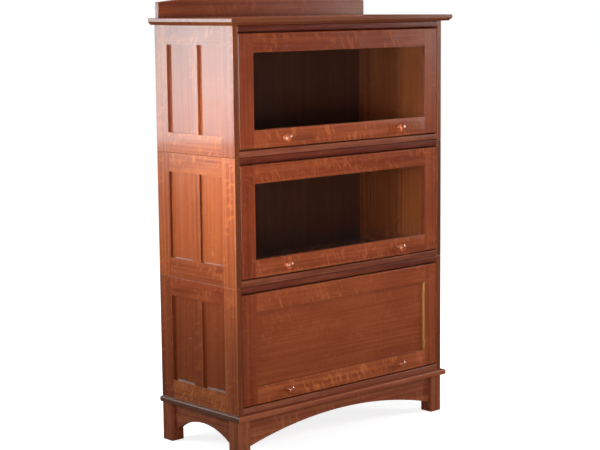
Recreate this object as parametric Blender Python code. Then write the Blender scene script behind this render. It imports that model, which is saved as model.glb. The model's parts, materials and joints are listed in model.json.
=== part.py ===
"""Barrister bookcase: three stacked cases with lift-up, slide-back doors, a legged base, and a top with a gallery.

Metres, +Z up, front towards -Y. The origin is the middle of the bounding box's bottom face.
Each case is built in its own frame: X from the middle, Y back from the front plane, Z up from its underside.
Glued-up frames are one solid each; panels, boards, glass, stops, knobs and pins are solids of their own.
"""

import math

import bmesh
import bpy
from mathutils import Matrix, Vector

# Overall sizes
case_width = 0.8636
case_depth = 0.3604
case_height = 0.376
case_count = 3
gap = 0.0003  # left between pieces that touch

# Case boards, with ends housed in the sides
board = 0.019
housing = 0.006
housing_setback = 0.012  # the housings stop this far behind the front edge
back_thickness = 0.006
back_rebate = 0.008

# Frame-and-panel sides
side_stile = 0.057
side_middle_stile = 0.038
side_top_rail = 0.057
side_bottom_rail = 0.059
panel_thickness = 0.006
side_panel_recess = 0.009
panel_groove = 0.008
panel_float = 0.001  # room for a panel to swell in its groove

# Doors
door_thickness = 0.019
door_stile = 0.056
door_top_rail = 0.056
door_bottom_rail = 0.054
door_side_gap = 0.001
door_top_gap = 0.0035
door_bottom_gap = 0.0028
door_edge_ease = 0.0025
door_panel_recess = 0.009
glass_thickness = 0.003
glass_rebate = 0.007
panelled_door = 3  # the lowest door holds a wooden panel, the others glass

# Door motion: pins in the stiles run back in grooves in the sides
pin_radius = 0.003
pin_in_stile = 0.018
pin_in_side = 0.006
pin_below_door_top = 0.012
pin_clearance = 0.0005
pin_end_room = 0.001
bore_end_room = 0.001
door_travel = 0.240

# Knobs
knob_radius = 0.0135
knob_projection = 0.025
knob_neck_radius = 0.0055
knob_foot_radius = 0.008
knob_dowel_radius = 0.00475
knob_dowel_length = 0.011
knob_spacing = 0.476

# Base
leg_height = 0.120
leg_width = 0.045
apron_thickness = 0.019
tenon_end_room = 0.001  # between the tenons that meet in a leg
tenon_shoulder = 0.012
arch_spring = 0.032  # height of an arch's ends above the floor
front_arch_top = 0.084
side_arch_top = 0.080
back_rail_height = 0.045
moulding_thickness = 0.017
moulding_width = 0.060
moulding_front_overhang = 0.015
moulding_side_overhang = 0.010
moulding_round = 0.004

# Top and gallery
top_thickness = 0.0195
top_front_overhang = 0.0262
top_side_overhang = 0.024
top_under_chamfer = 0.0088
gallery_thickness = 0.016
gallery_rebate = 0.004  # how deep it sits in the top
gallery_end_inset = 0.004
gallery_end_height = 0.047
gallery_middle_height = 0.070

# Facets
round_steps = 16
arch_steps = 20

# Sizes that follow from those above
front_y = (top_front_overhang - case_depth) / 2  # the cases' front plane
base_height = leg_height + moulding_thickness
stack_top = base_height + case_count * case_height
half_width = case_width / 2
inner_half_width = half_width - board
door_width = case_width - 2 * (board + door_side_gap)
door_height = case_height - 2 * board - door_top_gap - door_bottom_gap
pin_height = case_height - board - door_top_gap - pin_below_door_top  # above the case's underside
apron_inset = (leg_width - apron_thickness) / 2
apron_tenon = apron_inset - tenon_end_room

OAK = ((0.29, 0.095, 0.040), 0.38, 0.0)
DARK_OAK = ((0.20, 0.062, 0.030), 0.38, 0.0)
BIRCH = ((0.42, 0.23, 0.11), 0.55, 0.0)
GLASS = ((0.80, 0.86, 0.84), 0.02, 0.0)
STEEL = ((0.60, 0.60, 0.62), 0.30, 1.0)


def clear_scene():
    for obj in list(bpy.data.objects):
        bpy.data.objects.remove(obj, do_unlink=True)


def empty(name, location, parent=None):
    marker = bpy.data.objects.new(name, None)
    marker.location = location
    marker.parent = parent
    marker.empty_display_size = 0.03
    bpy.context.scene.collection.objects.link(marker)
    return marker


def material(name, look):
    colour, roughness, metallic = look
    made = bpy.data.materials.new(name)
    made.use_nodes = True
    shader = made.node_tree.nodes["Principled BSDF"]
    shader.inputs["Base Color"].default_value = (*colour, 1)
    shader.inputs["Roughness"].default_value = roughness
    shader.inputs["Metallic"].default_value = metallic
    return made


def mesh_object(name, shape, parent):
    bmesh.ops.recalc_face_normals(shape, faces=shape.faces)
    mesh = bpy.data.meshes.new(name)
    shape.to_mesh(mesh)
    shape.free()
    obj = bpy.data.objects.new(name, mesh)
    obj.parent = parent
    bpy.context.scene.collection.objects.link(obj)
    return obj


def solid(name, shape, parent, look):
    obj = mesh_object(name, shape, parent)
    obj.data.materials.append(material(name, look))
    return obj


def cut(target, shape, name):
    """Takes a shape, given in the target's own frame, out of the target."""
    cutter = mesh_object(f"cut_{target.name}_{name}", shape, target.parent)
    cutter.hide_render = True
    cutter.display_type = "WIRE"
    boolean = target.modifiers.new(name, "BOOLEAN")
    boolean.operation = "DIFFERENCE"
    boolean.solver = "EXACT"
    boolean.object = cutter


def box(low, high):
    shape = bmesh.new()
    size = [b - a for a, b in zip(low, high)]
    middle = [(a + b) / 2 for a, b in zip(low, high)]
    placed = Matrix.Translation(middle) @ Matrix.Diagonal((*size, 1))
    bmesh.ops.create_cube(shape, size=1, matrix=placed)
    return shape


def prism(outline, axis, low, high):
    """Extrudes an outline, given in the two other axes in X, Y, Z order, along an axis."""

    def point(pair, along):
        first, second = pair
        return ((along, first, second), (first, along, second), (first, second, along))["XYZ".index(axis)]

    shape = bmesh.new()
    near = [shape.verts.new(point(pair, low)) for pair in outline]
    far = [shape.verts.new(point(pair, high)) for pair in outline]
    shape.faces.new(near)
    shape.faces.new(far)
    for i in range(len(outline)):
        j = (i + 1) % len(outline)
        shape.faces.new((near[i], near[j], far[j], far[i]))
    return shape


def turned(profile, steps=round_steps):
    """Turns (distance along +Z, radius) points about Z, closing each end with a flat disc or a tip."""
    shape = bmesh.new()
    rings = []
    for along, radius in profile:
        angles = [2 * math.pi * i / steps for i in range(steps)] if radius else [0]
        ring = [(radius * math.cos(a), radius * math.sin(a), along) for a in angles]
        rings.append([shape.verts.new(point) for point in ring])
    for first, second in zip(rings, rings[1:]):
        for i in range(steps):
            j = (i + 1) % steps
            corners = [first[i % len(first)], first[j % len(first)]]
            corners += [second[j % len(second)], second[i % len(second)]]
            shape.faces.new(list(dict.fromkeys(corners)))
    for ring in (rings[0], rings[-1]):
        if len(ring) > 1:
            shape.faces.new(ring)
    return shape


def laid_along(shape, direction, start):
    """Turns a shape made along +Z to run along a direction from a start."""
    turn = Vector(direction).to_track_quat("Z", "Y").to_matrix().to_4x4()
    bmesh.ops.transform(shape, matrix=Matrix.Translation(start) @ turn, verts=shape.verts)
    return shape


def bevel_where(shape, wanted, width, segments=1):
    edges = [edge for edge in shape.edges if wanted(edge.verts[0].co, edge.verts[1].co)]
    bmesh.ops.bevel(shape, geom=edges, offset=width, segments=segments, profile=0.5, affect="EDGES")
    return shape


def smooth_rounds(obj):
    obj.data.shade_smooth()
    obj.data.set_sharp_from_angle(angle=math.radians(40))


def arc(half_span, end_height, middle_height, steps=arch_steps):
    """Points from left to right along the circular arc through two ends and a middle."""
    rise = middle_height - end_height
    radius = (half_span**2 + rise**2) / (2 * rise)
    reach = math.asin(half_span / radius)
    turns = [reach * (2 * i / steps - 1) for i in range(steps + 1)]
    return [(radius * math.sin(t), middle_height - radius + radius * math.cos(t)) for t in turns]


# Cases

window_depth = (case_depth - 2 * side_stile - side_middle_stile) / 2
side_windows = {
    "front": (side_stile, side_stile + window_depth),
    "rear": (case_depth - side_stile - window_depth, case_depth - side_stile),
}
window_low, window_high = side_bottom_rail, case_height - side_top_rail


def across(side, outer, inner):
    """X range of something that lies between two depths in from the outer face of a side board."""
    return sorted((side * (half_width - outer), side * (half_width - inner)))


def side_box(side, outer, inner, y_range, z_range):
    x_range = across(side, outer, inner)
    return box(*zip(x_range, y_range, z_range))


def case_side(name, side, parent):
    """One glued frame of three stiles and two rails, with every groove and rebate it carries."""
    height = case_height - gap
    frame = solid(name, side_box(side, 0, board, (0, case_depth), (0, height)), parent, OAK)
    past = 0.005
    groove_outer = side_panel_recess - gap
    groove_inner = side_panel_recess + panel_thickness + gap
    for place, (y_low, y_high) in side_windows.items():
        window = side_box(side, -past, board + past, (y_low, y_high), (window_low, window_high))
        cut(frame, window, f"{place}_window")
        y_groove = (y_low - panel_groove, y_high + panel_groove)
        z_groove = (window_low - panel_groove, window_high + panel_groove)
        cut(frame, side_box(side, groove_outer, groove_inner, y_groove, z_groove), f"{place}_groove")
    housed = board - housing - gap
    y_housing = (housing_setback - gap, case_depth + past)
    z_housings = {"lower": (-past, board + gap), "upper": (height - board - gap, height + past)}
    for place, z_housing in z_housings.items():
        cut(frame, side_box(side, housed, board + past, y_housing, z_housing), f"{place}_housing")
    y_rebate = (case_depth - back_thickness - gap, case_depth + 2 * past)
    rebate = side_box(side, board - back_rebate, board + 2 * past, y_rebate, (-2 * past, height + 2 * past))
    cut(frame, rebate, "back_rebate")
    half_groove = pin_radius + pin_clearance
    groove_end = half_groove + pin_end_room
    y_pin = (door_thickness / 2 - groove_end, door_thickness / 2 + door_travel + groove_end)
    z_pin = (pin_height - half_groove, pin_height + half_groove)
    pin_depth = pin_in_side + 2 * pin_end_room
    cut(frame, side_box(side, board - pin_depth, board + past, y_pin, z_pin), "pin_groove")


def side_panels(label, side, number, parent):
    for place, (y_low, y_high) in side_windows.items():
        reach = panel_groove - panel_float
        y_range = (y_low - reach, y_high + reach)
        z_range = (window_low - reach, window_high + reach)
        panel = side_box(side, side_panel_recess, side_panel_recess + panel_thickness, y_range, z_range)
        solid(f"side_panel_{label}_{place}_{number}", panel, parent, OAK)


def housed_board(name, z_low, z_high, parent):
    """A full-width board with its front corners notched, so that the housings don't show in front."""
    inner = inner_half_width - gap
    tongue = inner_half_width + housing
    rear = case_depth - back_thickness - gap
    right = [(inner, 0), (inner, housing_setback), (tongue, housing_setback), (tongue, rear)]
    outline = right + [(-x, y) for x, y in reversed(right)]
    solid(name, prism(outline, "Z", z_low, z_high), parent, DARK_OAK)


def case_back(name, parent):
    reach = inner_half_width + back_rebate - panel_float
    low = (-reach, case_depth - back_thickness, panel_float)
    high = (reach, case_depth, case_height - gap - panel_float)
    solid(name, box(low, high), parent, BIRCH)


# Doors, in the frame of their hinge line: X from the middle, Y back and Z up from the line

door_front = -door_thickness / 2
door_back = door_thickness / 2
door_top = pin_below_door_top
door_bottom = door_top - door_height
opening_half_width = door_width / 2 - door_stile
opening_low = door_bottom + door_bottom_rail
opening_high = door_top - door_top_rail


def opening_box(margin, y_low, y_high):
    """A box the size of the door's opening, plus a margin all round."""
    low = (-opening_half_width - margin, y_low, opening_low - margin)
    high = (opening_half_width + margin, y_high, opening_high + margin)
    return box(low, high)


def door_frame(name, panelled, parent):
    low = (-door_width / 2, door_front, door_bottom)
    high = (door_width / 2, door_back, door_top)
    shape = bevel_where(box(low, high), lambda a, b: abs(a.y - b.y) < 1e-6, door_edge_ease)
    frame = solid(name, shape, parent, OAK)
    past = 0.005
    cut(frame, opening_box(0, door_front - past, door_back + past), "opening")
    seat = door_front + door_panel_recess
    if panelled:
        cut(frame, opening_box(panel_groove, seat - gap, seat + panel_thickness + gap), "panel_groove")
    else:
        cut(frame, opening_box(glass_rebate, seat, door_back + 2 * past), "glass_rebate")
    for label, side in SIDES:
        pin_bore = blind_bore(pin_radius, pin_in_stile, past)
        cut(frame, laid_along(pin_bore, (-side, 0, 0), (side * door_width / 2, 0, 0)), f"{label}_pin_bore")
        knob_bore = blind_bore(knob_dowel_radius, knob_dowel_length, past)
        cut(frame, laid_along(knob_bore, (0, 1, 0), knob_seat(side)), f"{label}_knob_bore")


def blind_bore(radius, depth, past):
    """The cutter of a bore for a rod of that radius that goes that deep."""
    return turned([(-past, radius + gap), (depth + bore_end_room, radius + gap)])


def door_panel(name, parent):
    seat = door_front + door_panel_recess
    solid(name, opening_box(panel_groove - panel_float, seat, seat + panel_thickness), parent, OAK)


def door_glass(name, parent):
    seat = door_front + door_panel_recess + gap
    solid(name, opening_box(glass_rebate - panel_float, seat, seat + glass_thickness), parent, GLASS)


def glass_stop(name, parent):
    """The mitred beads that hold the glass in its rebate, as one ring."""
    seat = door_front + door_panel_recess + glass_thickness + 2 * gap
    ring = solid(name, opening_box(glass_rebate - gap, seat, door_back), parent, DARK_OAK)
    cut(ring, opening_box(0, seat - board, door_back + board), "opening")


def knob_seat(side):
    return (side * knob_spacing / 2, door_front, door_bottom + door_bottom_rail / 2)


def knob(name, side, parent):
    """A turned knob: a dowel in the rail, a foot, a waist and a domed head."""
    head_half = knob_projection * 0.32
    head_middle = knob_projection - head_half
    turns = [math.radians(angle) for angle in (-50, -25, 0, 25, 48, 70)]
    head = [(head_middle + head_half * math.sin(t), knob_radius * math.cos(t)) for t in turns]
    foot = [(gap, knob_foot_radius), (0.1 * knob_projection, knob_foot_radius)]
    waist = [(0.28 * knob_projection, knob_neck_radius)]
    dowel = [(-knob_dowel_length, knob_dowel_radius), (gap, knob_dowel_radius)]
    profile = dowel + foot + waist + head + [(knob_projection, 0)]
    x, y, z = knob_seat(side)
    smooth_rounds(solid(name, laid_along(turned(profile), (0, -1, 0), (x, y, z)), parent, OAK))


def guide_pin(name, side, parent):
    length = pin_in_stile + door_side_gap + pin_in_side
    shape = turned([(0, pin_radius), (length, pin_radius)])
    start = (side * (door_width / 2 - pin_in_stile), 0, 0)
    smooth_rounds(solid(name, laid_along(shape, (side, 0, 0), start), parent, STEEL))


SIDES = (("left", -1), ("right", 1))


def bookcase_unit(number):
    """One case with its door, numbered from the top down."""
    underside = base_height + (case_count - number) * case_height
    case = empty(f"case_{number}", (0, front_y, underside))
    carriage = empty(f"carriage_{number}", (0, door_thickness / 2, pin_height), case)
    door = empty(f"door_{number}", (0, 0, 0), carriage)
    panelled = number == panelled_door
    for label, side in SIDES:
        case_side(f"case_side_{label}_{number}", side, case)
        side_panels(label, side, number, case)
        knob(f"knob_{label}_{number}", side, door)
        guide_pin(f"guide_pin_{label}_{number}", side, carriage)
    housed_board(f"case_top_{number}", case_height - gap - board, case_height - gap, case)
    housed_board(f"case_bottom_{number}", 0, board, case)
    case_back(f"case_back_{number}", case)
    door_frame(f"door_frame_{number}", panelled, door)
    if panelled:
        door_panel(f"door_panel_{number}", door)
    else:
        door_glass(f"door_glass_{number}", door)
        glass_stop(f"glass_stop_{number}", door)


# Base, in a frame with Y back from the cases' front plane and Z up from the floor

leg_top = leg_height - gap
leg_rows = {"front": leg_width / 2, "rear": case_depth - leg_width / 2}


def mortise(along_x, toward_middle, toward_centre, z_low):
    """A mortise in a leg's own frame, in the face that looks along X or along Y."""
    half = apron_thickness / 2 + gap
    depth = (leg_width / 2 - apron_tenon - gap, leg_width)
    if along_x:
        x_range = sorted(toward_middle * d for d in depth)
        y_range = (-half, half)
    else:
        x_range = (-half, half)
        y_range = sorted(toward_centre * d for d in depth)
    return box(*zip(x_range, y_range, (z_low - gap, leg_top - tenon_shoulder + gap)))


def leg(row, label, side, parent):
    place = empty(f"leg_place_{row}_{label}", (side * (half_width - leg_width / 2), leg_rows[row], 0), parent)
    half = leg_width / 2
    post = solid(f"leg_{row}_{label}", box((-half, -half, 0), (half, half, leg_top)), place, OAK)
    across_low = arch_spring if row == "front" else leg_top - back_rail_height
    cut(post, mortise(True, -side, 0, across_low + tenon_shoulder), "rail_mortise")
    inward = 1 if row == "front" else -1
    cut(post, mortise(False, 0, inward, arch_spring + tenon_shoulder), "apron_mortise")


def apron_outline(half_span, lower_edge, rise=()):
    """A rail between two legs with a tenon at each end.

    Its lower edge runs from left to right, and rise goes from its upper edge's right end to a raised middle.
    """
    inner = half_span - gap
    outer = half_span + apron_tenon
    tenon_low = lower_edge[0][1] + tenon_shoulder
    tenon_high = leg_top - tenon_shoulder
    tenon = [(inner, tenon_low), (outer, tenon_low), (outer, tenon_high), (inner, tenon_high)]
    right = tenon + [(inner, leg_top)] + list(rise)
    left = [(-along, height) for along, height in reversed(right)]
    bottom = [(-inner, lower_edge[0][1])] + lower_edge[1:-1] + [(inner, lower_edge[-1][1])]
    return bottom + right + left


def aprons(parent):
    span = half_width - leg_width
    front = apron_outline(span, arc(span, arch_spring, front_arch_top))
    low, high = apron_inset, apron_inset + apron_thickness
    solid("apron_front", prism(front, "Y", low, high), parent, OAK)
    rail_low = leg_top - back_rail_height
    lip = half_width + moulding_side_overhang - moulding_width - gap
    rise = [(lip, leg_top), (lip, base_height - gap)]  # no moulding runs along the back, so the rail fills its height
    rear = apron_outline(span, [(-span, rail_low), (span, rail_low)], rise)
    solid("back_rail", prism(rear, "Y", case_depth - high, case_depth - low), parent, OAK)
    reach = case_depth / 2 - leg_width
    centred = apron_outline(reach, arc(reach, arch_spring, side_arch_top))
    outline = [(case_depth / 2 + y, z) for y, z in centred]
    for label, side in SIDES:
        x_low, x_high = across(side, low, high)
        solid(f"apron_{label}", prism(outline, "X", x_low, x_high), parent, OAK)


def moulding(parent):
    """Three flat strips on the legs and aprons, mitred at the front corners, with rounded outer edges."""
    x_out = half_width + moulding_side_overhang
    y_out = -moulding_front_overhang
    x_in, y_in = x_out - moulding_width, y_out + moulding_width
    low, high = leg_height, base_height - gap
    mitre = gap / 2

    def rounded(outline, on_outer_face):
        shape = prism(outline, "Z", low, high)
        return bevel_where(
            shape, lambda a, b: on_outer_face(a, b) and abs(a.z - b.z) < 1e-6, moulding_round, 2
        )

    def along_front(a, b):
        return abs(a.y - y_out) < 1e-6 and abs(b.y - y_out) < 1e-6

    right = [(x_out - mitre, y_out), (x_in - mitre, y_in)]
    outline = right + [(-x, y) for x, y in reversed(right)]
    solid("moulding_front", rounded(outline, along_front), parent, DARK_OAK)
    for label, side in SIDES:
        strip = [(x_out, y_out + mitre), (x_out, case_depth), (x_in, case_depth), (x_in, y_in + mitre)]
        outline = [(side * x, y) for x, y in strip]

        def along_side(a, b, edge=side * x_out):
            return abs(a.x - edge) < 1e-6 and abs(b.x - edge) < 1e-6

        solid(f"moulding_{label}", rounded(outline, along_side), parent, DARK_OAK)


def base():
    floor = empty("base", (0, front_y, 0))
    for label, side in SIDES:
        for row in leg_rows:
            leg(row, label, side, floor)
    aprons(floor)
    moulding(floor)


def top():
    place = empty("top", (0, front_y, stack_top))
    half = half_width + top_side_overhang
    slab = box((-half, -top_front_overhang, 0), (half, case_depth, top_thickness - gap))

    def under_edge(a, b):
        behind = a.y > case_depth - 1e-6 and b.y > case_depth - 1e-6
        return a.z < 1e-6 and b.z < 1e-6 and not behind

    board_top = solid("top_board", bevel_where(slab, under_edge, top_under_chamfer), place, OAK)
    reach = half_width - gallery_end_inset
    gallery_front = case_depth - gallery_thickness
    seat = top_thickness - gallery_rebate
    low = (-reach - gap, gallery_front - gap, seat - gap)
    high = (reach + gap, case_depth + board, top_thickness + board)
    cut(board_top, box(low, high), "gallery_rebate")
    crest = arc(reach, top_thickness + gallery_end_height, top_thickness + gallery_middle_height)
    outline = [(reach, seat), (-reach, seat)] + crest
    solid("gallery", prism(outline, "Y", gallery_front, case_depth), place, OAK)


clear_scene()
for number in range(1, case_count + 1):
    bookcase_unit(number)
base()
top()
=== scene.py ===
"""Looks for the barrister bookcase: quartersawn oak, clear glass and turned knobs round the CAD frame."""

import json
import math
import random

import bmesh
import bpy
from mathutils import Matrix, Vector

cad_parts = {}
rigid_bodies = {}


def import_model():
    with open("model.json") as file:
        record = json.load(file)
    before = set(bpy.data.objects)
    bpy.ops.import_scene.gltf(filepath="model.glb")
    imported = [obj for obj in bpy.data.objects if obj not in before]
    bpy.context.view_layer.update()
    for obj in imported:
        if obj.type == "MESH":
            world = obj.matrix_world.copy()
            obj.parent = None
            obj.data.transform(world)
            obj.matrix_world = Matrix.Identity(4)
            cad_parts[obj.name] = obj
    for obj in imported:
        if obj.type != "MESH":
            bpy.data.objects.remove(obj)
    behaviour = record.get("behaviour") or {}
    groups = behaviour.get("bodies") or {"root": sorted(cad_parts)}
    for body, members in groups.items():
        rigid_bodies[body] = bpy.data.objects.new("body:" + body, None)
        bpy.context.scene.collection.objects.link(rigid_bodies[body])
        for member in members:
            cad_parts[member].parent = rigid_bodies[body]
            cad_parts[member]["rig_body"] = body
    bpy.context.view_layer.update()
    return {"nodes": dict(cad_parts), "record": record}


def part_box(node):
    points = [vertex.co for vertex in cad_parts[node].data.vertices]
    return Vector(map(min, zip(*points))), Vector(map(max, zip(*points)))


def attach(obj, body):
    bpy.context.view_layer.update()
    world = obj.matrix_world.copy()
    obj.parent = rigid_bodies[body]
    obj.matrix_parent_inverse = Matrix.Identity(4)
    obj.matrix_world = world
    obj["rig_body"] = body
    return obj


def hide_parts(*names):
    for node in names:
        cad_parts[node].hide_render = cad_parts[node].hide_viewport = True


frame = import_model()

slots = {entry["node"]: entry["material_slot"] for entry in frame["record"]["subparts"]}
random.seed(7)

X, Y, Z = 0, 1, 2
GLAZED = (1, 2)  # the cases with glass doors
CASES = (1, 2, 3)  # from the top down
SIDES = ("left", "right")
ROWS = ("front", "rear")

# Widths of the members of the glued frames; lengths are in metres throughout
SIDE_STILE = 0.057
SIDE_TOP_RAIL = 0.057
SIDE_BOTTOM_RAIL = 0.059
DOOR_STILE = 0.056
DOOR_TOP_RAIL = 0.056
DOOR_BOTTOM_RAIL = 0.054
GLASS_BEAD = 0.0067
JAMB_DEPTH = 0.002  # the face of the jamb that is painted pale, as painted light, lies within this of the stile's edge
HAIRLINE = 0.00006  # half the width of a glued joint line
SEAM = 0.0003  # the air between two stacked cases
FAR = 5.0  # beyond every board
WELD = 1e-6  # points this close are one point
ON_PLANE = 1e-5  # a point this close to a plane lies in it

# How wide the rounding of an edge is, on boards of each kind and on the carried CAD solids
CRISP, FINE, EASED = 0.0006, 0.0008, 0.0012
SIDE_EASE, SOFT, LEDGE_EASE = 0.0016, 0.002, 0.0032
CARRIED_EASE = 0.0004
LEADING_EDGES = ("ledge",)  # looks whose long front edges are rounded in full
LONG_EDGE = 0.15  # the least length of such an edge

# How much darker the edges of a board are painted than its faces, by look, and by case for the side frames:
# partly the extra stain that edge grain takes up, partly painted shade for the dark lines at gaps, jambs and
# the sides' front edges
EDGE_STAIN_AND_SHADE = {"top": 0.45, "door": 0.55, "figured": 0.55}
SIDE_EDGE_STAIN_AND_SHADE = {1: 0.3, 2: 0.75, 3: 0.45}

# How the rounded edges are painted: 1 where they are paler, partly rubbed by wear and partly a painted
# highlight line; -1 where painted shade darkens the groove between stacked cases
EDGE_WEAR_AND_LIGHT = {"ledge": -1.0}

# How much paler (above 0) or darker each board is painted: partly the tone that differs from board to board,
# partly painted light and shade where the lamps light the case unevenly
TONE_SPREAD = 0.04
# The right sides are painted paler: painted light for the light that falls on their inner faces inside the
# cases
RIGHT_SIDE_PAINTED_LIGHT = 0.20
# Left sides, partly board tone and partly painted light and shade: the lowest case is painted darker, as
# shade where the left light fades towards the floor, and the middle case's front stile and panel paler, as
# light where it falls strongest
LEFT_TONES_AND_SHADING = {
    1: {"front_stile": -0.12, "front_panel": -0.15, "rear_panel": -0.15, "top_rail": -0.15},
    2: {"front_stile": 0.28, "front_panel": 0.12, "middle_stile": -0.06, "bottom_rail": -0.10},
    3: {
        "front_stile": 0.12, "middle_stile": -0.20, "rear_stile": -0.26, "front_panel": -0.26,
        "rear_panel": -0.32, "top_rail": -0.38, "bottom_rail": 0.15,
    },
}
# Glazed cases, partly board tone and partly painted shade: the case tops' front edges and the doors' top
# rails are painted darker, as shade under the board above
GLAZED_TONES_AND_SHADING = {
    "left_stile": -0.32, "right_stile": -0.08, "top_rail": -0.22, "bottom_rail": 0.02,
    "case_top": -0.58, "case_bottom": -0.04,
}
# The panelled lowest case, partly board tone and partly painted light and shade: its case top is painted
# darker, as shade under the case above, and its door's bottom rail and case bottom paler, as more light
# falling low down
PANELLED_TONES_AND_SHADING = {
    "left_stile": -0.18, "right_stile": 0.05, "top_rail": 0.04, "bottom_rail": 0.42,
    "case_top": -0.42, "case_bottom": 0.30,
}
DOOR_PANEL_TONE = 0.12
# The rear legs are painted darker than the front ones
REAR_LEG_TONE = -0.2
# The side aprons are painted darker: painted shade under the moulding that overhangs them
SIDE_APRON_PAINTED_SHADE = -0.22


# Boards: each visible piece of wood is cut from its CAD solid, eased along its edges, and given its own grain


def cad_copy(node):
    """A welded copy of a CAD node's mesh."""
    shape = bmesh.new()
    shape.from_mesh(frame["nodes"][node].data)
    bmesh.ops.remove_doubles(shape, verts=shape.verts, dist=WELD)
    return shape


def flatten(shape):
    """Joins the triangles of each flat face into one."""
    bmesh.ops.dissolve_limit(shape, angle_limit=math.radians(0.2), verts=shape.verts, edges=shape.edges)


def scratch(name, shape):
    """A throwaway object."""
    mesh = bpy.data.meshes.new(name)
    shape.to_mesh(mesh)
    shape.free()
    obj = bpy.data.objects.new(name, mesh)
    bpy.context.scene.collection.objects.link(obj)
    return obj


def cube_between(low, high):
    """A cutter box between two corners."""
    shape = bmesh.new()
    size = [b - a for a, b in zip(low, high)]
    middle = [(a + b) / 2 for a, b in zip(low, high)]
    placed = Matrix.Translation(middle) @ Matrix.Diagonal((*size, 1))
    bmesh.ops.create_cube(shape, size=1, matrix=placed)
    return shape


class Board:
    """One piece of wood: what it is cut from, which way its grain runs and how its edges are eased.

    sawn is how far its grain is turned from true quartersawn, in degrees.
    """

    def __init__(self, name, node, grain, face, look, low=None, high=None, ease=EASED, sawn=6.0, tone=0.0):
        self.name, self.node, self.look = name, node, look
        self.grain, self.face, self.ease, self.sawn, self.tone = grain, face, ease, sawn, tone
        self.low = Vector(low or (-FAR, -FAR, -FAR))
        self.high = Vector(high or (FAR, FAR, FAR))
        self.cut = low is not None or high is not None
        self.rough = self.shape = None
        self.edge_stain_and_shade = EDGE_STAIN_AND_SHADE.get(look, 0.0)
        self.painted_jamb_low = self.painted_jamb_high = None

    def is_painted_jamb(self, face):
        """Whether a face is the jamb beside a panel that is painted pale, as painted light."""
        if self.painted_jamb_high is None or face.normal.x > -0.9:
            return False
        low, high, at = self.painted_jamb_low, self.painted_jamb_high, face.center
        return low.x < at.x < high.x and low.y < at.y < high.y and low.z < at.z < high.z


boards = []


def add_board(*args, **settings):
    boards.append(Board(*args, **settings))


def split_jamb(board, shape):
    """Parts the jamb that is painted pale, as painted light, from the rest of its flat face."""
    if board.painted_jamb_high is None:
        return
    planes = [(Y, board.painted_jamb_high.y), (Z, board.painted_jamb_low.z), (Z, board.painted_jamb_high.z)]
    for axis, place in planes:
        normal = Vector([float(i == axis) for i in range(3)])
        everything = list(shape.verts) + list(shape.edges) + list(shape.faces)
        bmesh.ops.bisect_plane(shape, geom=everything, plane_co=normal * place, plane_no=normal, dist=WELD)


def cut_boards():
    """Cuts every member of a glued frame out of its frame's solid, all in one evaluation."""
    made = []
    for board in boards:
        if not board.cut:
            continue
        board.rough = scratch(board.name + "_rough", cad_copy(board.node))
        cutter = scratch(board.name + "_cutter", cube_between(board.low, board.high))
        boolean = board.rough.modifiers.new("member", "BOOLEAN")
        boolean.operation = "INTERSECT"
        boolean.solver = "EXACT"
        boolean.object = cutter
        made += [board.rough, cutter]
    graph = bpy.context.evaluated_depsgraph_get()
    for board in boards:
        if board.cut:
            shape = bmesh.new()
            evaluated = board.rough.evaluated_get(graph)
            shape.from_mesh(evaluated.to_mesh())
            evaluated.to_mesh_clear()
            bmesh.ops.remove_doubles(shape, verts=shape.verts, dist=WELD)
        else:
            shape = cad_copy(board.node)
        flatten(shape)
        split_jamb(board, shape)
        board.shape = shape
    for obj in made:
        mesh = obj.data
        bpy.data.objects.remove(obj)
        bpy.data.meshes.remove(mesh)


def on_cut(board, edge):
    """Whether an edge lies in a plane where this board is glued to its neighbour."""
    for axis in range(3):
        for plane in (board.low[axis], board.high[axis]):
            if all(abs(vert.co[axis] - plane) < ON_PLANE for vert in edge.verts):
                return True
    return False


def bevelled(shape, edges, width, clamp):
    result = bmesh.ops.bevel(
        shape, geom=edges, offset=width, segments=3, profile=0.5, affect="EDGES", clamp_overlap=clamp
    )
    return result["faces"]


def free_edges(board, angle):
    """The edges sharper than an angle in degrees that aren't in a glued joint."""
    sharp = [e for e in board.shape.edges if e.is_manifold and e.calc_face_angle(0) > math.radians(angle)]
    return [e for e in sharp if not on_cut(board, e)]


def ease_edges(board):
    """Rounds the free edges and leaves those of a glued joint sharp. Returns the new faces."""
    shape = board.shape
    free = free_edges(board, 30)
    rounded = []
    front = min(vert.co.y for vert in shape.verts)
    leading = [e for e in free if all(abs(vert.co.y - front) < ON_PLANE for vert in e.verts)]
    leading = [e for e in leading if e.calc_length() > LONG_EDGE and board.look in LEADING_EDGES]
    if leading:
        rounded += bevelled(shape, leading, board.ease, clamp=False)
        free = free_edges(board, 40)
    shortest = min((e.calc_length() for e in free), default=1)
    width = min(board.ease, 0.45 * shortest)
    rounded += bevelled(shape, free, width, clamp=True)
    return set(rounded)


def grain_axes(board):
    """Unit vectors along the grain, across the face and through the thickness."""
    axes = [Vector([float(i == axis) for i in range(3)]) for axis in range(3)]
    across = ({X, Y, Z} - {board.grain, board.face}).pop()
    return axes[board.grain], axes[across], axes[board.face]


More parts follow.
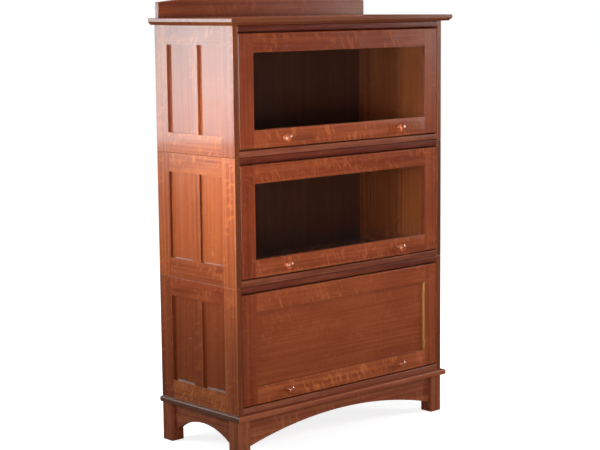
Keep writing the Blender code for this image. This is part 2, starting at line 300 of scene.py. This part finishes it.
def add_grain(board, mesh, rounded):
    """Stores each point's place in the tree, along the trunk and out from the pith, the board's tone with its
    painted light and shade, and each face's wear, painted highlight, painted shade and painted jamb light.
    """
    along, across, through = grain_axes(board)
    middle = sum((vert.co for vert in mesh.vertices), Vector()) / len(mesh.vertices)
    turn = math.radians(board.sawn + random.uniform(-3, 3))
    pith = random.uniform(0.16, 0.30)  # how far the pith is from the board's middle
    start = random.uniform(0, 40)  # where along the trunk the board begins
    lean = random.uniform(-0.012, 0.012)  # how far its grain slopes
    values = []
    for vert in mesh.vertices:
        offset = vert.co - middle
        u, v, w = offset.dot(along), offset.dot(across), offset.dot(through)
        v += lean * u
        radial = v * math.cos(turn) - w * math.sin(turn) + pith
        tangent = v * math.sin(turn) + w * math.cos(turn)
        values += [u + start, radial, tangent]
    mesh.attributes.new("grain", "FLOAT_VECTOR", "POINT").data.foreach_set("vector", values)
    # The board's tone, with the painted light and shade of the tables above
    tone = board.tone + random.uniform(-TONE_SPREAD, TONE_SPREAD)
    mesh.attributes.new("tone", "FLOAT", "POINT").data.foreach_set("value", [tone] * len(mesh.vertices))
    # Rounded faces are painted paler, partly wear and partly a painted highlight; on the ledges they carry
    # painted shade instead
    rubbed_and_painted_light = mesh.attributes.new("rubbed_and_painted_light", "FLOAT", "FACE")
    edge_paint_sign = EDGE_WEAR_AND_LIGHT.get(board.look, 1.0)
    rubbed_and_painted_light.data.foreach_set("value", [edge_paint_sign * (i in rounded) for i in range(len(mesh.polygons))])
    # Edges painted darker: partly the extra stain of edge grain, partly painted shade at gaps and jambs
    edge = mesh.attributes.new("edge", "FLOAT", "FACE")
    sideways = [abs(face.normal.dot(through)) < 0.9 for face in mesh.polygons]
    edge.data.foreach_set("value", [board.edge_stain_and_shade * flag for flag in sideways])
    broad = mesh.attributes.new("broad", "FLOAT", "FACE")
    broad.data.foreach_set("value", [1.0 - flag for flag in sideways])
    # Painted light: the jamb beside the door panel is painted pale, as if the left light falls on it
    painted_jamb_light = mesh.attributes.new("painted_jamb_light", "FLOAT", "FACE")
    painted_jamb_light.data.foreach_set("value", [float(board.is_painted_jamb(face)) for face in mesh.polygons])


def finish_board(board):
    """Turns a cut board into a piece."""
    rounded = ease_edges(board)
    board.shape.faces.index_update()
    rounded = {face.index for face in rounded if face.is_valid}
    mesh = bpy.data.meshes.new(board.name)
    board.shape.to_mesh(mesh)
    board.shape.free()
    add_grain(board, mesh, rounded)
    piece(board.name, mesh, board.look, board.node)


def piece(name, mesh, look, node):
    """Links a finished mesh as a piece that stands for a CAD node and rides on its body."""
    obj = bpy.data.objects.new(name, mesh)
    bpy.context.scene.collection.objects.link(obj)
    mesh.materials.append(looks[look])
    mesh.shade_smooth()
    mesh.set_sharp_from_angle(angle=math.radians(50))
    weighted = obj.modifiers.new("weighted_normals", "WEIGHTED_NORMAL")
    weighted.keep_sharp = True
    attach(obj, frame["nodes"][node]["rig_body"])
    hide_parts(node)


def side_boards(label, number):
    """The three stiles, two rails and two panels of one side of a case."""
    node = f"case_side_{label}_{number}"
    low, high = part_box(node)
    front, rear = low.y + SIDE_STILE, high.y - SIDE_STILE
    sill, head = low.z + SIDE_BOTTOM_RAIL, high.z + SEAM - SIDE_TOP_RAIL
    start, end = front + HAIRLINE, rear - HAIRLINE  # of the members between the outer stiles
    members = {
        "front_stile": (Z, (-FAR, -FAR, -FAR), (FAR, front - HAIRLINE, FAR)),
        "rear_stile": (Z, (-FAR, rear + HAIRLINE, -FAR), (FAR, FAR, FAR)),
        "top_rail": (Y, (-FAR, start, head + HAIRLINE), (FAR, end, FAR)),
        "bottom_rail": (Y, (-FAR, start, -FAR), (FAR, end, sill - HAIRLINE)),
        "middle_stile": (Z, (-FAR, start, sill + HAIRLINE), (FAR, end, head - HAIRLINE)),
    }
    # Right sides all take that painted light; left sides take their listed tones with painted light and shade
    tones_and_shading, other_tone = (LEFT_TONES_AND_SHADING[number], 0.0) if label == "left" else ({}, RIGHT_SIDE_PAINTED_LIGHT)
    for member, (grain, *cut) in members.items():
        name = f"side_{label}_{number}_{member}"
        tone = tones_and_shading.get(member, other_tone)
        look = "side_figured" if member.endswith("rail") else "side"
        add_board(name, node, grain, X, look, low=cut[0], high=cut[1], ease=SIDE_EASE, tone=tone)
        # The side frames' edges are painted darker case by case: partly stain, partly painted shade
        boards[-1].edge_stain_and_shade = SIDE_EDGE_STAIN_AND_SHADE[number]
    for row in ROWS:
        panel = f"side_panel_{label}_{row}_{number}"
        tone = tones_and_shading.get(f"{row}_panel", other_tone)
        add_board(f"{panel}_board", panel, Z, X, "panel", ease=CRISP, tone=tone)


def door_boards(number):
    """The two stiles and two rails of a door, and its beads or its panel."""
    node = f"door_frame_{number}"
    low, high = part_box(node)
    left, right = low.x + DOOR_STILE, high.x - DOOR_STILE
    sill, head = low.z + DOOR_BOTTOM_RAIL, high.z - DOOR_TOP_RAIL
    start, end = left + HAIRLINE, right - HAIRLINE  # of the rails
    members = {
        "left_stile": (Z, "door", (-FAR, -FAR, -FAR), (left - HAIRLINE, FAR, FAR)),
        "right_stile": (Z, "door", (right + HAIRLINE, -FAR, -FAR), (FAR, FAR, FAR)),
        "top_rail": (X, "figured", (start, -FAR, head + HAIRLINE), (end, FAR, FAR)),
        "bottom_rail": (X, "figured", (start, -FAR, -FAR), (end, FAR, sill - HAIRLINE)),
    }
    tones_and_shading = GLAZED_TONES_AND_SHADING if number in GLAZED else PANELLED_TONES_AND_SHADING
    for member, (grain, look, *cut) in members.items():
        name = f"door_{number}_{member}"
        add_board(name, node, grain, Y, look, low=cut[0], high=cut[1], tone=tones_and_shading[member])
    if number in GLAZED:
        stop_beads(number)
        return
    panel = f"door_panel_{number}"
    settings = {"ease": CRISP, "sawn": 24, "tone": DOOR_PANEL_TONE}
    add_board(f"door_{number}_panel_board", panel, X, Y, "door_panel", **settings)
    # The right stile's jamb beside the panel is painted pale: painted light from the left
    painted_jamb_stile = next(board for board in boards if board.name == f"door_{number}_right_stile")
    painted_jamb_stile.painted_jamb_low = Vector((right - JAMB_DEPTH, low.y, sill))
    painted_jamb_stile.painted_jamb_high = Vector((right + JAMB_DEPTH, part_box(panel)[0].y, head))


def stop_beads(number):
    """The four beads that hold a sheet of glass."""
    node = f"glass_stop_{number}"
    low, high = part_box(node)
    left, right = low.x + GLASS_BEAD, high.x - GLASS_BEAD
    middle = (low.z + high.z) / 2
    start, end = left + HAIRLINE, right - HAIRLINE  # of the top and bottom beads
    members = {
        "left": (Z, (-FAR, -FAR, -FAR), (left - HAIRLINE, FAR, FAR)),
        "right": (Z, (right + HAIRLINE, -FAR, -FAR), (FAR, FAR, FAR)),
        "top": (X, (start, -FAR, middle), (end, FAR, FAR)),
        "bottom": (X, (start, -FAR, -FAR), (end, FAR, middle)),
    }
    for member, (grain, *cut) in members.items():
        name = f"glass_bead_{number}_{member}"
        add_board(name, node, grain, Y, "shelf", low=cut[0], high=cut[1], ease=FINE)


def all_boards():
    """Lists every board of the cases, the base and the top."""
    for number in CASES:
        for label in SIDES:
            side_boards(label, number)
        door_boards(number)
        tones_and_shading = GLAZED_TONES_AND_SHADING if number in GLAZED else PANELLED_TONES_AND_SHADING
        for place in ("top", "bottom"):
            node = f"case_{place}_{number}"
            tone = tones_and_shading[f"case_{place}"]
            add_board(f"shelf_{place}_{number}", node, X, Z, "ledge", ease=LEDGE_EASE, tone=tone)
        add_board(f"back_board_{number}", f"case_back_{number}", Z, Y, "back", ease=CRISP, sawn=70)
    for row in ROWS:
        tone = REAR_LEG_TONE if row == "rear" else 0.0
        for label in SIDES:
            leg = f"leg_{row}_{label}"
            add_board(f"foot_{row}_{label}", leg, Z, Y, "base", ease=SOFT, sawn=30, tone=tone)
    add_board("front_apron_board", "apron_front", X, Y, "base")
    add_board("back_rail_board", "back_rail", X, Y, "base")
    for label in SIDES:
        # Side aprons painted darker: painted shade under the moulding
        add_board(f"side_apron_board_{label}", f"apron_{label}", Y, X, "base", tone=SIDE_APRON_PAINTED_SHADE)
        add_board(f"side_moulding_{label}", f"moulding_{label}", Y, Z, "dark_moulding")
    add_board("front_moulding", "moulding_front", X, Z, "moulding")
    add_board("top_slab", "top_board", X, Z, "top", sawn=12)
    add_board("gallery_board", "gallery", X, Y, "top", ease=SOFT)


# Knobs: a knob's curves are fractions of its length and of its head's radius

DOWEL_RADIUS, DOWEL_DEPTH = 0.00475, 0.0108
KNOB_GAP = 0.0003  # the air under a knob's foot
KNOB_STEPS, DOME_STEPS = 48, 14


def turned_mesh(profile, steps):
    """Turns (distance out, radius) points about -Y, from a flat end to a tip."""
    shape = bmesh.new()
    rings = []
    for out, radius in profile:
        if radius == 0:
            rings.append([shape.verts.new((0, -out, 0))])
            continue
        angles = [2 * math.pi * i / steps for i in range(steps)]
        rings.append([shape.verts.new((radius * math.cos(a), -out, radius * math.sin(a))) for a in angles])
    for first, second in zip(rings, rings[1:]):
        for i in range(steps):
            j = (i + 1) % steps
            corners = [first[i % len(first)], first[j % len(first)]]
            corners += [second[j % len(second)], second[i % len(second)]]
            shape.faces.new(list(dict.fromkeys(corners)))
    shape.faces.new(rings[0])
    bmesh.ops.recalc_face_normals(shape, faces=shape.faces)
    return shape


def curve_between(start, end, bulge, steps):
    """Points of a smooth turned curve between two (out, radius) points, pulled by a bulge point."""
    points = []
    for i in range(1, steps + 1):
        t = i / steps
        a, b, c = (1 - t) ** 2, 2 * t * (1 - t), t * t
        points.append(tuple(a * p + b * q + c * r for p, q, r in zip(start, bulge, end)))
    return points


def knob_mesh(length, head_radius):
    """A dowel, a low foot, a slender waist and a domed head with a soft rim."""
    foot_radius, waist_radius = 0.59 * head_radius, 0.40 * head_radius
    foot = [(KNOB_GAP, DOWEL_RADIUS), (KNOB_GAP, 0.93 * foot_radius), (0.0008, foot_radius)]
    foot += [(0.09 * length, foot_radius), (0.12 * length, 0.93 * foot_radius)]
    waist_start, waist_end = foot[-1], (0.30 * length, waist_radius)
    waist = curve_between(waist_start, waist_end, (0.14 * length, 1.02 * waist_radius), 8)
    flare = curve_between(waist_end, (0.48 * length, 0.88 * head_radius), (0.44 * length, waist_radius), 8)
    rim = curve_between(flare[-1], (0.68 * length, head_radius), (0.56 * length, head_radius), 6)
    dome = []
    for i in range(1, DOME_STEPS):
        angle = math.pi / 2 * i / DOME_STEPS
        dome.append(((0.68 + 0.32 * math.sin(angle)) * length, head_radius * math.cos(angle)))
    profile = [(-DOWEL_DEPTH, DOWEL_RADIUS)] + foot + waist + flare + rim + dome + [(length, 0)]
    return turned_mesh(profile, KNOB_STEPS)


def knobs():
    """Turned knobs, each in place of its plain CAD solid."""
    for number in CASES:
        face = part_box(f"door_frame_{number}")[0].y
        for label in SIDES:
            node = f"knob_{label}_{number}"
            low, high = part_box(node)
            centre = Vector(((low.x + high.x) / 2, face, (low.z + high.z) / 2))
            shape = knob_mesh(face - low.y, (high.x - low.x) / 2)
            bmesh.ops.transform(shape, matrix=Matrix.Translation(centre), verts=shape.verts)
            name = f"turned_knob_{label}_{number}"
            mesh = bpy.data.meshes.new(name)
            shape.to_mesh(mesh)
            shape.free()
            wood = Board(name, node, Y, X, "knob", sawn=40)
            add_grain(wood, mesh, set())
            piece(name, mesh, "knob", node)


# Materials

TRUNK_RADIUS = 0.22  # turns an angle round the pith into metres
RING_PITCH = 1850.0  # a growth ring every 3.4 mm
# Painted light: the pale colour of the lit jamb beside a door panel
PAINTED_JAMB_LIGHT_COLOUR = (0.62, 0.30, 0.085)
TONE_DEPTHS = (0.8, 1.15, 1.2)  # how strongly a board's tone changes its red, green and blue
PIN_MARKS = 2600.0  # marks along a steel pin, per metre


class Nodes:
    """Short calls for building a node tree."""

    def __init__(self, tree):
        self.tree = tree

    def add(self, kind, **settings):
        node = self.tree.nodes.new("ShaderNode" + kind)
        for name, value in settings.items():
            setattr(node, name, value)
        return node

    def join(self, out, into):
        self.tree.links.new(out, into)

    def attribute(self, name):
        return self.add("Attribute", attribute_name=name)

    def math(self, operation, first, second=None):
        node = self.add("Math", operation=operation)
        for socket, value in zip(node.inputs, (first, second)):
            if value is None:
                continue
            if isinstance(value, (int, float)):
                socket.default_value = value
            else:
                self.join(value, socket)
        return node.outputs[0]

    def scaled(self, value, factor, plus=0.0):
        node = self.add("Math", operation="MULTIPLY_ADD")
        self.join(value, node.inputs[0])
        node.inputs[1].default_value, node.inputs[2].default_value = factor, plus
        return node.outputs[0]

    def by_ray(self, seen, mirrored, other):
        """One level seen straight on, one mirrored in a shiny surface, and one for all other light."""
        path = self.add("LightPath")
        level = self.ramp(path.outputs["Is Glossy Ray"], 0.0, 1.0, other, mirrored)
        lead = self.add("Math", operation="MULTIPLY_ADD")
        self.join(path.outputs["Is Camera Ray"], lead.inputs[0])
        lead.inputs[1].default_value = seen - other
        self.join(level, lead.inputs[2])
        return lead.outputs[0]

    def vector(self, x, y, z):
        node = self.add("CombineXYZ")
        for socket, value in zip(node.inputs, (x, y, z)):
            if isinstance(value, (int, float)):
                socket.default_value = value
            else:
                self.join(value, socket)
        return node.outputs[0]

    def noise(self, at, scale=1.0, detail=2.0, rough=0.5, distort=0.0):
        node = self.add("TexNoise")
        node.inputs["Scale"].default_value = scale
        node.inputs["Detail"].default_value = detail
        node.inputs["Roughness"].default_value = rough
        node.inputs["Distortion"].default_value = distort
        self.join(at, node.inputs["Vector"])
        return node.outputs["Fac"]

    def ramp(self, value, low, high, to_low=0.0, to_high=1.0):
        node = self.add("MapRange", interpolation_type="SMOOTHSTEP")
        self.join(value, node.inputs["Value"])
        for name, number in (("From Min", low), ("From Max", high), ("To Min", to_low), ("To Max", to_high)):
            node.inputs[name].default_value = number
        return node.outputs["Result"]

    def mix(self, factor, first, second, blend="MIX"):
        node = self.add("Mix", data_type="RGBA", blend_type=blend)
        for socket, value in ((node.inputs[0], factor), (node.inputs[6], first), (node.inputs[7], second)):
            if isinstance(value, (int, float)):
                socket.default_value = value
            elif isinstance(value, tuple):
                socket.default_value = (*value, 1)
            else:
                self.join(value, socket)
        return node.outputs[2]


def new_material(name):
    material = bpy.data.materials.new(name)
    material.use_nodes = True
    shader = material.node_tree.nodes["Principled BSDF"]
    return material, Nodes(material.node_tree), shader


def tinted(colour, *factors):
    return tuple(min(1.0, c * f) for c, f in zip(colour, factors))


def oak(
    name, colour, figure=0.5, contrast=1.0, streaks=1.0,
    roughness=0.25, coat=0.4, coat_roughness=0.08, coat_ior=1.5,
):
    """Stained, lacquered oak, from each board's own place in the trunk: streaks, rings, pores and ray fleck.

    figure is the strength of the ray fleck, contrast that of the clouds, rings and fibres, and streaks that
    of the long bands.
    """
    material, nodes, shader = new_material(name)
    place = nodes.add("SeparateXYZ")
    nodes.join(nodes.attribute("grain").outputs["Vector"], place.inputs[0])
    along, out, aside = place.outputs
    radius = nodes.math("SQRT", nodes.math("ADD", nodes.math("POWER", out, 2), nodes.math("POWER", aside, 2)))
    arc = nodes.math("MULTIPLY", nodes.math("ARCTAN2", aside, out), TRUNK_RADIUS)

    def stretched(per_along, per_radius, per_arc, from_pith=radius):
        """Coordinates that give one cell per so many metres each way."""
        return nodes.vector(
            nodes.math("DIVIDE", along, per_along),
            nodes.math("DIVIDE", from_pith, per_radius),
            nodes.math("DIVIDE", arc, per_arc),
        )

    wander = nodes.noise(stretched(0.30, 0.05, 0.05), detail=2)
    waver = nodes.noise(stretched(0.07, 0.02, 0.02), detail=1)
    shift = nodes.math("ADD", nodes.math("MULTIPLY", wander, 0.010), nodes.math("MULTIPLY", waver, 0.0016))
    ring_place = nodes.math("ADD", radius, shift)
    spacing = nodes.noise(nodes.vector(0.0, nodes.math("DIVIDE", ring_place, 0.02), 0.0), detail=1)
    phase = nodes.math("ADD", ring_place, nodes.math("MULTIPLY", spacing, 0.006))
    phase = nodes.math("MULTIPLY", phase, RING_PITCH)
    ring = nodes.scaled(nodes.math("SINE", phase), 0.5, 0.5)
    late = nodes.ramp(ring, 0.25, 1.0)
    streak = nodes.noise(stretched(0.8, 0.009, 0.03, ring_place), detail=4, rough=0.6)
    cloud = nodes.noise(stretched(0.16, 0.05, 0.07), detail=3, rough=0.6)
    fibre = nodes.noise(stretched(0.035, 0.0007, 0.0009, ring_place), detail=2)
    pore_noise = nodes.noise(stretched(0.012, 0.00042, 0.00042, ring_place), detail=1)
    pore = nodes.math("MULTIPLY", nodes.ramp(pore_noise, 0.60, 0.72), nodes.ramp(ring, 0.2, 0.9, 1.0, 0.15))

    slant = nodes.math("ADD", nodes.math("DIVIDE", along, 0.011), nodes.math("DIVIDE", radius, 0.034))
    fleck_at = nodes.vector(slant, nodes.math("DIVIDE", radius, 0.042), nodes.math("DIVIDE", arc, 0.006))
    fleck_shape = nodes.ramp(nodes.noise(fleck_at, detail=2, rough=0.5, distort=0.5), 0.50, 0.66)
    fleck_patch = nodes.ramp(nodes.noise(stretched(0.10, 0.05, 0.03), detail=1), 0.36, 0.60)
    fleck = nodes.math("MULTIPLY", nodes.math("MULTIPLY", fleck_shape, fleck_patch), figure)
    fleck = nodes.math("MULTIPLY", fleck, nodes.attribute("broad").outputs["Fac"])

    tone = nodes.attribute("tone").outputs["Fac"]
    rubbed_and_painted_light = nodes.attribute("rubbed_and_painted_light").outputs["Fac"]
    edge = nodes.attribute("edge").outputs["Fac"]
    painted_jamb_light = nodes.attribute("painted_jamb_light").outputs["Fac"]
    deep = tinted(colour, 0.66, 0.55, 0.56)
    bright = tinted(colour, 1.24, 1.38, 1.26)
    ray = tinted(colour, 1.42, 1.72, 1.50)
    line = tinted(colour, 0.42, 0.30, 0.32)
    stained_and_shaded_edge = tinted(colour, 0.22, 0.26, 0.36)
    base = nodes.mix(nodes.ramp(streak, 0.30, 0.70, 0.5 - 0.5 * streaks, 0.5 + 0.5 * streaks), deep, bright)
    base = nodes.mix(nodes.scaled(nodes.ramp(cloud, 0.40, 0.72), 0.5 * contrast), base, deep)
    base = nodes.mix(nodes.scaled(late, 0.28 * contrast), base, deep)
    base = nodes.mix(nodes.scaled(nodes.ramp(fibre, 0.45, 0.75), 0.22 * contrast), base, line)
    base = nodes.mix(fleck, base, ray)
    base = nodes.mix(nodes.scaled(pore, 0.55), base, line)
    # Darker edges: partly the stain that edge grain takes up, partly painted shade at gaps and jambs
    base = nodes.mix(edge, base, stained_and_shaded_edge)
    # Rounded edges painted paler: partly rubbed by wear, partly a painted highlight line
    base = nodes.mix(nodes.ramp(rubbed_and_painted_light, 0.0, 1.0, 0.0, 0.35), base, ray)
    # Rounded ledge edges painted dark: painted shade in the groove between stacked cases
    base = nodes.mix(nodes.ramp(rubbed_and_painted_light, -1.0, 0.0, 0.85, 0.0), base, line)
    # Painted light on the jamb beside the door panel
    base = nodes.mix(painted_jamb_light, base, PAINTED_JAMB_LIGHT_COLOUR)
    # Each board's tone and painted light and shade scale its colour
    shades = [nodes.scaled(tone, depth, 1.0) for depth in TONE_DEPTHS]
    base = nodes.mix(1.0, base, nodes.vector(*shades), "MULTIPLY")
    nodes.join(base, shader.inputs["Base Color"])

    gloss = nodes.math("ADD", nodes.scaled(pore, 0.16, roughness - 0.05), nodes.scaled(fleck, -0.05))
    mottle = nodes.noise(stretched(0.05, 0.03, 0.03), detail=3)  # uneven sheen
    nodes.join(nodes.math("ADD", gloss, nodes.scaled(mottle, 0.10)), shader.inputs["Roughness"])
    shader.inputs["Coat Weight"].default_value = coat
    shader.inputs["Coat Roughness"].default_value = coat_roughness
    shader.inputs["Coat IOR"].default_value = coat_ior
    shader.inputs["Specular IOR Level"].default_value = 0.40

    height = nodes.math("ADD", nodes.scaled(pore, -1.0), nodes.scaled(late, -0.25))
    height = nodes.math("ADD", height, nodes.scaled(fibre, 0.25))
    bump = nodes.add("Bump")
    bump.inputs["Strength"].default_value = 0.5
    bump.inputs["Distance"].default_value = 0.00006
    nodes.join(height, bump.inputs["Height"])
    nodes.join(bump.outputs["Normal"], shader.inputs["Normal"])
    return material


def glass():
    """Clear float glass with a faint green edge, which lets the lamps' light straight through."""
    material, nodes, shader = new_material("clear_glass")
    shader.inputs["Transmission Weight"].default_value = 1.0
    shader.inputs["IOR"].default_value = 1.5
    shader.inputs["Base Color"].default_value = (0.97, 0.99, 0.98, 1)
    place = nodes.add("TexCoord").outputs["Object"]
    smear = nodes.noise(place, scale=9.0, detail=4, rough=0.6)
    nodes.join(nodes.ramp(smear, 0.35, 0.75, 0.0, 0.035), shader.inputs["Roughness"])
    path = nodes.add("LightPath")
    clear = nodes.add("BsdfTransparent")
    clear.inputs["Color"].default_value = (0.93, 0.96, 0.945, 1)
    through = nodes.math("MAXIMUM", path.outputs["Is Shadow Ray"], path.outputs["Is Diffuse Ray"])
    both = nodes.add("MixShader")
    nodes.join(through, both.inputs[0])
    nodes.join(shader.outputs[0], both.inputs[1])
    nodes.join(clear.outputs[0], both.inputs[2])
    nodes.join(both.outputs[0], nodes.tree.nodes["Material Output"].inputs["Surface"])
    return material


def steel():
    """Drawn steel rod, with fine marks round it."""
    material, nodes, shader = new_material("pin_steel")
    place = nodes.add("SeparateXYZ")
    nodes.join(nodes.add("TexCoord").outputs["Object"], place.inputs[0])
    along = nodes.math("MULTIPLY", place.outputs[0], PIN_MARKS)
    marks_at = nodes.vector(along, place.outputs[1], place.outputs[2])
    marks = nodes.noise(marks_at, detail=3)
    tint = nodes.mix(marks, (0.48, 0.48, 0.49), (0.66, 0.66, 0.67))
    nodes.join(tint, shader.inputs["Base Color"])
    nodes.join(nodes.ramp(marks, 0.2, 0.8, 0.24, 0.40), shader.inputs["Roughness"])
    shader.inputs["Metallic"].default_value = 1.0
    return material


def carried_nodes():
    """Gives the CAD solids whose shape is right a better material and a fine edge."""
    for name, node in frame["nodes"].items():
        look = {"clear_glass": "glass", "pin_steel": "steel"}.get(slots[name])
        if look is None:
            continue
        node.data.materials.clear()
        node.data.materials.append(looks[look])
        edge = node.modifiers.new("fine_edge", "BEVEL")
        edge.width = CARRIED_EASE
        edge.segments = 2
        edge.limit_method = "ANGLE"
        edge.angle_limit = math.radians(40)
        node.data.shade_smooth()
        node.data.set_sharp_from_angle(angle=math.radians(40))


# Studio

AMBIENT, AMBIENT_MIRRORED = 0.055, 0.02
FLOOR_SEEN, FLOOR_MIRRORED, FLOOR_BOUNCE = 0.9, 0.06, 0.45  # how pale the floor is to each kind of ray
FLOOR_GLOW_NEAR = 0.80  # beside the object; further out the floor glows fully white
FLOOR_SIZE = 30
COOL = (0.80, 0.95, 1.0)
WHITE = (1.0, 1.0, 1.0)
# Where each lamp is, what it aims at, its size, its power, its colour and its spread in degrees
LIGHTS = {
    "reflected": ((-2.40, 1.98, 1.20), (-0.43, 0.00, 1.10), (1.35, 1.05), 29.5, COOL, 180),
    "left_rear": ((-1.35, 0.60, 1.55), (-0.43, 0.10, 1.05), (1.0, 1.3), 4.0, COOL, 180),
    "left_grid": ((-1.50, -0.40, 1.10), (-0.43, -0.05, 0.80), (0.5, 0.5), 1.05, WHITE, 55),
    "left_far": ((-4.40, -1.02, 1.05), (0.00, -0.08, 0.93), (0.2, 0.2), 1.5, WHITE, 17),
    "left_front": ((-2.00, -1.90, 1.10), (0.35, -0.05, 0.85), (0.5, 0.5), 1.3, WHITE, 60),
    "front_left": ((-1.00, -3.00, 0.60), (0, -0.17, 0.50), (1.4, 0.8), 21, WHITE, 180),
    "key": ((3.80, -2.15, 1.60), (0.1, -0.17, 0.60), (0.7, 1.3), 62, WHITE, 180),
    "overhead": ((0.00, 0.50, 3.20), (0, 0, 0.60), (1.6, 1.2), 52, WHITE, 180),
}
SENSOR, LENS = 36, 95.51  # in millimetres
HEADING, DOWN, ROLL = 0.7389, 0.13975, -0.0100  # in radians
EYE_SIDE, EYE_BACK, EYE_HEIGHT = -3.3265, 3.4511, 1.3305  # from the middle, the cases' front and the floor


def floor():
    """A plain pale floor, near white to the eye; the shadow under the object stays faint."""
    shape = bmesh.new()
    bmesh.ops.create_grid(shape, x_segments=8, y_segments=8, size=FLOOR_SIZE)
    mesh = bpy.data.meshes.new("studio_floor")
    shape.to_mesh(mesh)
    shape.free()
    obj = bpy.data.objects.new("studio_floor", mesh)
    bpy.context.scene.collection.objects.link(obj)
    material, nodes, shader = new_material("studio_floor")
    level = nodes.by_ray(FLOOR_SEEN, FLOOR_MIRRORED, FLOOR_BOUNCE)
    nodes.join(nodes.vector(level, level, level), shader.inputs["Base Color"])
    shader.inputs["Roughness"].default_value = 1.0
    shader.inputs["Specular IOR Level"].default_value = 0.0
    distance = nodes.add("VectorMath", operation="LENGTH")
    nodes.join(nodes.add("TexCoord").outputs["Object"], distance.inputs[0])
    glow = nodes.ramp(distance.outputs["Value"], 0.5, 2.2, FLOOR_GLOW_NEAR, 1.0)
    shader.inputs["Emission Color"].default_value = (1, 1, 1, 1)
    nodes.join(nodes.math("MULTIPLY", glow, nodes.by_ray(1.0, 0.0, 0.0)), shader.inputs["Emission Strength"])
    mesh.materials.append(material)


def world():
    """White behind the object, and a much dimmer light from all round."""
    scene = bpy.context.scene
    scene.world = bpy.data.worlds.new("studio")
    scene.world.use_nodes = True
    nodes = Nodes(scene.world.node_tree)
    background = scene.world.node_tree.nodes["Background"]
    nodes.join(nodes.by_ray(1.0, AMBIENT_MIRRORED, AMBIENT), background.inputs["Strength"])
    background.inputs["Color"].default_value = (1, 1, 1, 1)


def softbox(name, place, aim, size, power, colour, spread):
    light = bpy.data.lights.new(name, "AREA")
    light.shape = "RECTANGLE"
    light.size, light.size_y = size
    light.energy = power
    light.color = colour
    light.spread = math.radians(spread)
    obj = bpy.data.objects.new(name, light)
    obj.location = place
    obj.rotation_euler = (Vector(aim) - Vector(place)).to_track_quat("-Z", "Y").to_euler()
    bpy.context.scene.collection.objects.link(obj)


def camera():
    """Eye level, to the front left, with a long lens; it tips very slightly to one side."""
    data = bpy.data.cameras.new("camera")
    data.sensor_width = SENSOR
    data.lens = LENS
    data.clip_start, data.clip_end = 0.1, 100
    obj = bpy.data.objects.new("camera", data)
    forward = Vector(
        (math.sin(HEADING) * math.cos(DOWN), math.cos(HEADING) * math.cos(DOWN), -math.sin(DOWN))
    )
    level = Vector((math.cos(HEADING), -math.sin(HEADING), 0))
    up = level.cross(forward)
    right = level * math.cos(ROLL) + up * math.sin(ROLL)
    above = -level * math.sin(ROLL) + up * math.cos(ROLL)
    turned = Matrix((right, above, -forward)).transposed()
    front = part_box("case_side_left_1")[0].y
    obj.matrix_world = Matrix.Translation((EYE_SIDE, front - EYE_BACK, EYE_HEIGHT)) @ turned.to_4x4()
    bpy.context.scene.collection.objects.link(obj)
    bpy.context.scene.camera = obj


camera()
world()
floor()
for light_name, settings in LIGHTS.items():
    softbox(light_name, *settings)

STAIN = (0.385, 0.098, 0.037)
SIDE_STAIN = (0.39, 0.095, 0.031)
DOOR_STAIN = (0.41, 0.089, 0.031)

looks = {
    "side": oak("side_oak", SIDE_STAIN, figure=0.35),
    "side_figured": oak("figured_side_oak", SIDE_STAIN, figure=0.75),
    "panel": oak("panel_oak", (0.385, 0.089, 0.026), figure=0.12, contrast=0.7, streaks=0.5),
    "door_panel": oak("door_panel_oak", DOOR_STAIN, figure=0.2, contrast=1.1, streaks=0.55),
    "door": oak("door_oak", DOOR_STAIN, figure=0.3, streaks=0.8),
    "figured": oak("figured_door_oak", DOOR_STAIN, figure=0.75, streaks=0.8),
    "shelf": oak("shelf_oak", (0.30, 0.068, 0.024), figure=0.25),
    # The ledge oak is greyed: partly its stain, partly painted sheen on the cases' front edges between the
    # doors
    "ledge": oak("ledge_oak", (0.34, 0.096, 0.050), figure=0.25, contrast=1.5),
    "top": oak("top_oak", STAIN, figure=0.35),
    "base": oak("base_oak", (0.43, 0.118, 0.055), figure=0.5),
    "moulding": oak("moulding_oak", (0.52, 0.146, 0.070), figure=0.25),
    # The side mouldings are painted darker and greyer than the front one: painted shade where the left light
    # is dim near the floor
    "dark_moulding": oak("dark_moulding_oak", (0.25, 0.110, 0.070), figure=0.25),
    # The backs are painted much darker than the other oak: partly their own dark stain, partly painted shade
    # for the dim inside of the cases
    "back": oak("back_veneer", (0.10, 0.027, 0.011), figure=0.1, roughness=0.5, coat=0.1, streaks=0.5),
    "knob": oak(
        "knob_oak", (0.55, 0.135, 0.045), figure=0.1,
        roughness=0.2, coat=1.0, coat_roughness=0.06, coat_ior=1.9,
    ),
    "glass": glass(),
    "steel": steel(),
}

all_boards()
cut_boards()
for board in boards:
    finish_board(board)
knobs()
carried_nodes()

bpy.context.scene.view_settings.view_transform = "Standard"
